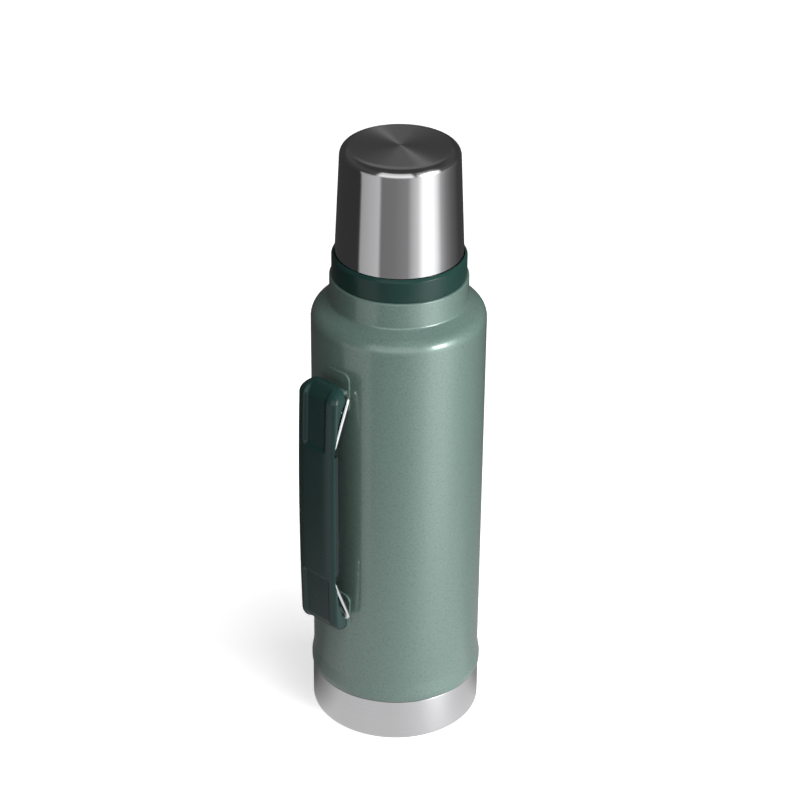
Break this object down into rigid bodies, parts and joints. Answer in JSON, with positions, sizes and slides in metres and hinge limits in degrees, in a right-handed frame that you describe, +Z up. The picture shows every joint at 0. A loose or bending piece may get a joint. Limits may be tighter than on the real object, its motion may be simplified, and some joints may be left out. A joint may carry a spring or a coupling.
{
  "type": "vacuum flask",
  "caption": "Tall double-walled steel vacuum flask with a hammered green finish, a screw-on steel cup, a screw stopper and a carry handle that folds flat on wire links.",
  "frame": {"origin": "middle of the foot ring, on the surface the flask stands on", "axes": "+Z up along the flask's axis, the handle is on the -Y side, X across it"},
  "size_m": [0.1046, 0.1233, 0.3742],
  "materials": {
    "green_paint": "hammered gloss",
    "bare_steel": "brushed",
    "inner_steel": "satin",
    "wire_steel": "bright drawn",
    "green_plastic": "satin",
    "seam_plastic": "fine grain",
    "silicone": "matte",
    "foam": "matte"
  },
  "bodies": {
    "bottle": {"outer_shell": "green_paint", "base_cap": "bare_steel", "jacket_base": "inner_steel", "vacuum_seal": "inner_steel", "inner_liner": "inner_steel", "liner_neck": "inner_steel", "liner_base": "inner_steel", "getter": "inner_steel", "collar": "green_plastic", "upper_bracket": "green_paint", "lower_bracket": "green_paint"},
    "cup_carriage": {"cup_gasket": "silicone"},
    "cup": {"cup_shell": "bare_steel", "cup_liner": "inner_steel", "cup_thread_ring": "green_plastic"},
    "stopper_carriage": {"stopper_gasket": "silicone"},
    "stopper": {"stopper_body": "green_plastic", "stopper_cap": "green_plastic", "stopper_insulation": "foam", "stopper_base": "green_plastic"},
    "grip": {"grip_shell": "green_plastic", "grip_cover": "seam_plastic", "grip_screws": "wire_steel"},
    "upper_wire": {"upper_wire": "wire_steel"},
    "lower_wire": {"lower_wire": "wire_steel"}
  },
  "joints": [
    {"name": "cup_lift", "type": "slide", "parent": "bottle", "child": "cup_carriage", "axis": [0, 0, 1], "range_m": [0, 0.15]},
    {"name": "cup_turn", "type": "hinge", "parent": "cup_carriage", "child": "cup", "pos_m": [0, 0, 0.335], "axis": [0, 0, 1], "continuous": true},
    {"name": "stopper_lift", "type": "slide", "parent": "bottle", "child": "stopper_carriage", "axis": [0, 0, 1], "range_m": [0, 0.075]},
    {"name": "stopper_turn", "type": "hinge", "parent": "stopper_carriage", "child": "stopper", "pos_m": [0, 0, 0.32], "axis": [0, 0, 1], "continuous": true},
    {"name": "handle_pull", "type": "slide", "parent": "bottle", "child": "grip", "axis": [0, -1, 0], "range_m": [0, 0.014]},
    {"name": "upper_wire_swing", "type": "hinge", "parent": "bottle", "child": "upper_wire", "pos_m": [0, -0.0538, 0.2387], "axis": [-1, 0, 0], "range_deg": [0, 30.8]},
    {"name": "lower_wire_swing", "type": "hinge", "parent": "bottle", "child": "lower_wire", "pos_m": [0, -0.0538, 0.0872], "axis": [1, 0, 0], "range_deg": [0, 30.8]}
  ],
  "couplings": [
    {"joint": "stopper_lift", "follows": "cup_lift", "ratio": 0.5},
    {"joint": "upper_wire_swing", "follows": "handle_pull", "rad_per_m": 38.3},
    {"joint": "lower_wire_swing", "follows": "handle_pull", "rad_per_m": 38.3}
  ]
}
